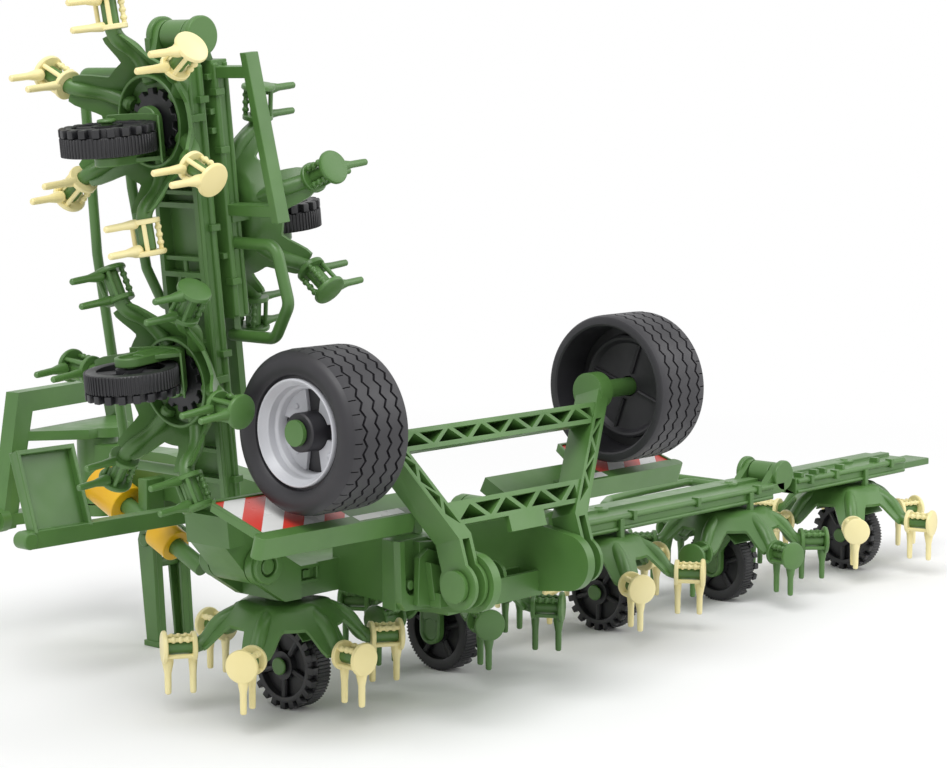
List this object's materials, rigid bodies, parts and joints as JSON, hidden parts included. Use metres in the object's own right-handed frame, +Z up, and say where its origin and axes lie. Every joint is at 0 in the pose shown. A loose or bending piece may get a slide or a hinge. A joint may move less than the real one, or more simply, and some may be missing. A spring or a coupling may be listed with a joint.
{
  "type": "toy hay tedder",
  "caption": "Toy trailed rotary tedder with folding wings, tined rotors over ground wheels, a swing-over transport chassis, a swivelling headstock and a stand.",
  "frame": {"origin": "on the floor, under the middle of the whole machine's box at rest", "axes": "+X to the machine's right along the unfolded wing, +Y forward towards the tractor, +Z up"},
  "size_m": [0.3968, 0.2102, 0.1973],
  "materials": {
    "green_plastic": "satin moulded green",
    "ram_green": "satin moulded green",
    "tine_green": "satin moulded green",
    "tine_cream": "satin moulded cream",
    "black_plastic": "matt moulded black",
    "tyre": "matt moulded dark grey",
    "rim_silver": "silver grey moulded",
    "guard_yellow": "satin moulded yellow",
    "board_stripes": "white with red stripes"
  },
  "bodies": {
    "main_frame": {"main_frame": "green_plastic", "drawbar": "green_plastic", "front_boards": "green_plastic", "warning_boards": "board_stripes", "drive_shaft": "green_plastic", "drive_guards": "guard_yellow", "rams": "ram_green", "strut_4": "green_plastic", "strut_5": "green_plastic"},
    "chassis": {"chassis": "green_plastic"},
    "wheel_left": {"tyre_left": "tyre", "rim_left": "rim_silver"},
    "wheel_right": {"tyre_right": "tyre", "rim_right": "rim_silver"},
    "headstock": {"headstock": "green_plastic"},
    "stand": {"stand": "green_plastic"},
    "wing_left": {"wing_left": "green_plastic", "wing_rails_left": "green_plastic", "strut_2": "green_plastic", "strut_3": "green_plastic"},
    "tip_left": {"tip_left": "green_plastic", "strut_1": "green_plastic"},
    "wing_right": {"wing_right": "green_plastic", "wing_rails_right": "green_plastic", "strut_6": "green_plastic", "strut_7": "green_plastic"},
    "tip_right": {"tip_right": "green_plastic", "strut_8": "green_plastic"},
    "rotor_1": {"rotor_1": "green_plastic", "tines_1": "tine_green", "gear_1": "black_plastic"},
    "ground_wheel_1": {"ground_wheel_1": "black_plastic"},
    "rotor_2": {"rotor_2": "green_plastic", "tines_2": "tine_cream", "gear_2": "black_plastic"},
    "ground_wheel_2": {"ground_wheel_2": "black_plastic"},
    "rotor_3": {"rotor_3": "green_plastic", "tines_3": "tine_green", "gear_3": "black_plastic"},
    "ground_wheel_3": {"ground_wheel_3": "black_plastic"},
    "rotor_4": {"rotor_4": "green_plastic", "tines_4": "tine_cream", "gear_4": "black_plastic"},
    "ground_wheel_4": {"ground_wheel_4": "black_plastic"},
    "rotor_5": {"rotor_5": "green_plastic", "tines_5": "tine_green", "gear_5": "black_plastic"},
    "ground_wheel_5": {"ground_wheel_5": "black_plastic"},
    "rotor_6": {"rotor_6": "green_plastic", "tines_6": "tine_cream", "gear_6": "black_plastic"},
    "ground_wheel_6": {"ground_wheel_6": "black_plastic"},
    "rotor_7": {"rotor_7": "green_plastic", "tines_7": "tine_green", "gear_7": "black_plastic"},
    "ground_wheel_7": {"ground_wheel_7": "black_plastic"},
    "rotor_8": {"rotor_8": "green_plastic", "tines_8": "tine_cream", "gear_8": "black_plastic"},
    "ground_wheel_8": {"ground_wheel_8": "black_plastic"}
  },
  "joints": [
    {"name": "wing_left_fold", "type": "hinge", "parent": "main_frame", "child": "wing_left", "pos_m": [-0.14186, -0.03872, 0.044], "axis": [0, -1, 0], "range_deg": [0, 84]},
    {"name": "tip_left_fold", "type": "hinge", "parent": "wing_left", "child": "tip_left", "pos_m": [-0.16058, -0.03872, 0.18572], "axis": [0, -1, 0], "range_deg": [0, 180]},
    {"name": "wing_right_fold", "type": "hinge", "parent": "main_frame", "child": "wing_right", "pos_m": [-0.04127, -0.03872, 0.044], "axis": [0, 1, 0], "range_deg": [-84, 0]},
    {"name": "tip_right_fold", "type": "hinge", "parent": "wing_right", "child": "tip_right", "pos_m": [0.10164, -0.03872, 0.0402], "axis": [0, 1, 0], "range_deg": [-180, 0]},
    {"name": "chassis_swing", "type": "hinge", "parent": "main_frame", "child": "chassis", "pos_m": [-0.09156, -0.09712, 0.0414], "axis": [-1, 0, 0], "range_deg": [-150, 0]},
    {"name": "wheel_left_turn", "type": "hinge", "parent": "chassis", "child": "wheel_left", "pos_m": [-0.15407, -0.08301, 0.0856], "axis": [1, 0, 0], "continuous": true},
    {"name": "wheel_right_turn", "type": "hinge", "parent": "chassis", "child": "wheel_right", "pos_m": [-0.02907, -0.08301, 0.0856], "axis": [1, 0, 0], "continuous": true},
    {"name": "headstock_swivel", "type": "hinge", "parent": "main_frame", "child": "headstock", "pos_m": [-0.09156, 0.08228, 0.0515], "axis": [0, 0, 1], "range_deg": [-52, 28]},
    {"name": "stand_fold", "type": "hinge", "parent": "main_frame", "child": "stand", "pos_m": [-0.09156, 0.05128, 0.033], "axis": [-1, 0, 0], "range_deg": [-80, 0]},
    {"name": "rotor_1_turn", "type": "hinge", "parent": "tip_left", "child": "rotor_1", "pos_m": [-0.14738, -0.03872, 0.13854], "axis": [-0.9945, 0, -0.1045], "continuous": true},
    {"name": "ground_wheel_1_turn", "type": "hinge", "parent": "tip_left", "child": "ground_wheel_1", "pos_m": [-0.12757, -0.03872, 0.13761], "axis": [-0.1045, 0, 0.9945], "continuous": true},
    {"name": "rotor_2_turn", "type": "hinge", "parent": "wing_left", "child": "rotor_2", "pos_m": [-0.16657, -0.03872, 0.16428], "axis": [0.9945, 0, 0.1045], "continuous": true},
    {"name": "ground_wheel_2_turn", "type": "hinge", "parent": "wing_left", "child": "ground_wheel_2", "pos_m": [-0.18575, -0.03872, 0.15924], "axis": [0.1045, 0, -0.9945], "continuous": true},
    {"name": "rotor_3_turn", "type": "hinge", "parent": "wing_left", "child": "rotor_3", "pos_m": [-0.15936, -0.03872, 0.09565], "axis": [0.9945, 0, 0.1045], "continuous": true},
    {"name": "ground_wheel_3_turn", "type": "hinge", "parent": "wing_left", "child": "ground_wheel_3", "pos_m": [-0.17917, -0.03872, 0.09659], "axis": [0.1045, 0, -0.9945], "continuous": true},
    {"name": "rotor_4_turn", "type": "hinge", "parent": "main_frame", "child": "rotor_4", "pos_m": [-0.12607, -0.03872, 0.032], "axis": [0, 0, 1], "continuous": true},
    {"name": "ground_wheel_4_turn", "type": "hinge", "parent": "main_frame", "child": "ground_wheel_4", "pos_m": [-0.12306, -0.03872, 0.0124], "axis": [1, 0, 0], "continuous": true},
    {"name": "rotor_5_turn", "type": "hinge", "parent": "main_frame", "child": "rotor_5", "pos_m": [-0.05706, -0.03872, 0.032], "axis": [0, 0, 1], "continuous": true},
    {"name": "ground_wheel_5_turn", "type": "hinge", "parent": "main_frame", "child": "ground_wheel_5", "pos_m": [-0.06007, -0.03872, 0.0124], "axis": [1, 0, 0], "continuous": true},
    {"name": "rotor_6_turn", "type": "hinge", "parent": "wing_right", "child": "rotor_6", "pos_m": [0.01193, -0.03872, 0.032], "axis": [0, 0, 1], "continuous": true},
    {"name": "ground_wheel_6_turn", "type": "hinge", "parent": "wing_right", "child": "ground_wheel_6", "pos_m": [0.01494, -0.03872, 0.0124], "axis": [1, 0, 0], "continuous": true},
    {"name": "rotor_7_turn", "type": "hinge", "parent": "wing_right", "child": "rotor_7", "pos_m": [0.08094, -0.03872, 0.032], "axis": [0, 0, 1], "continuous": true},
    {"name": "ground_wheel_7_turn", "type": "hinge", "parent": "wing_right", "child": "ground_wheel_7", "pos_m": [0.07794, -0.03872, 0.0124], "axis": [1, 0, 0], "continuous": true},
    {"name": "rotor_8_turn", "type": "hinge", "parent": "tip_right", "child": "rotor_8", "pos_m": [0.14994, -0.03872, 0.032], "axis": [0, 0, 1], "continuous": true},
    {"name": "ground_wheel_8_turn", "type": "hinge", "parent": "tip_right", "child": "ground_wheel_8", "pos_m": [0.15293, -0.03872, 0.0124], "axis": [1, 0, 0], "continuous": true}
  ]
}
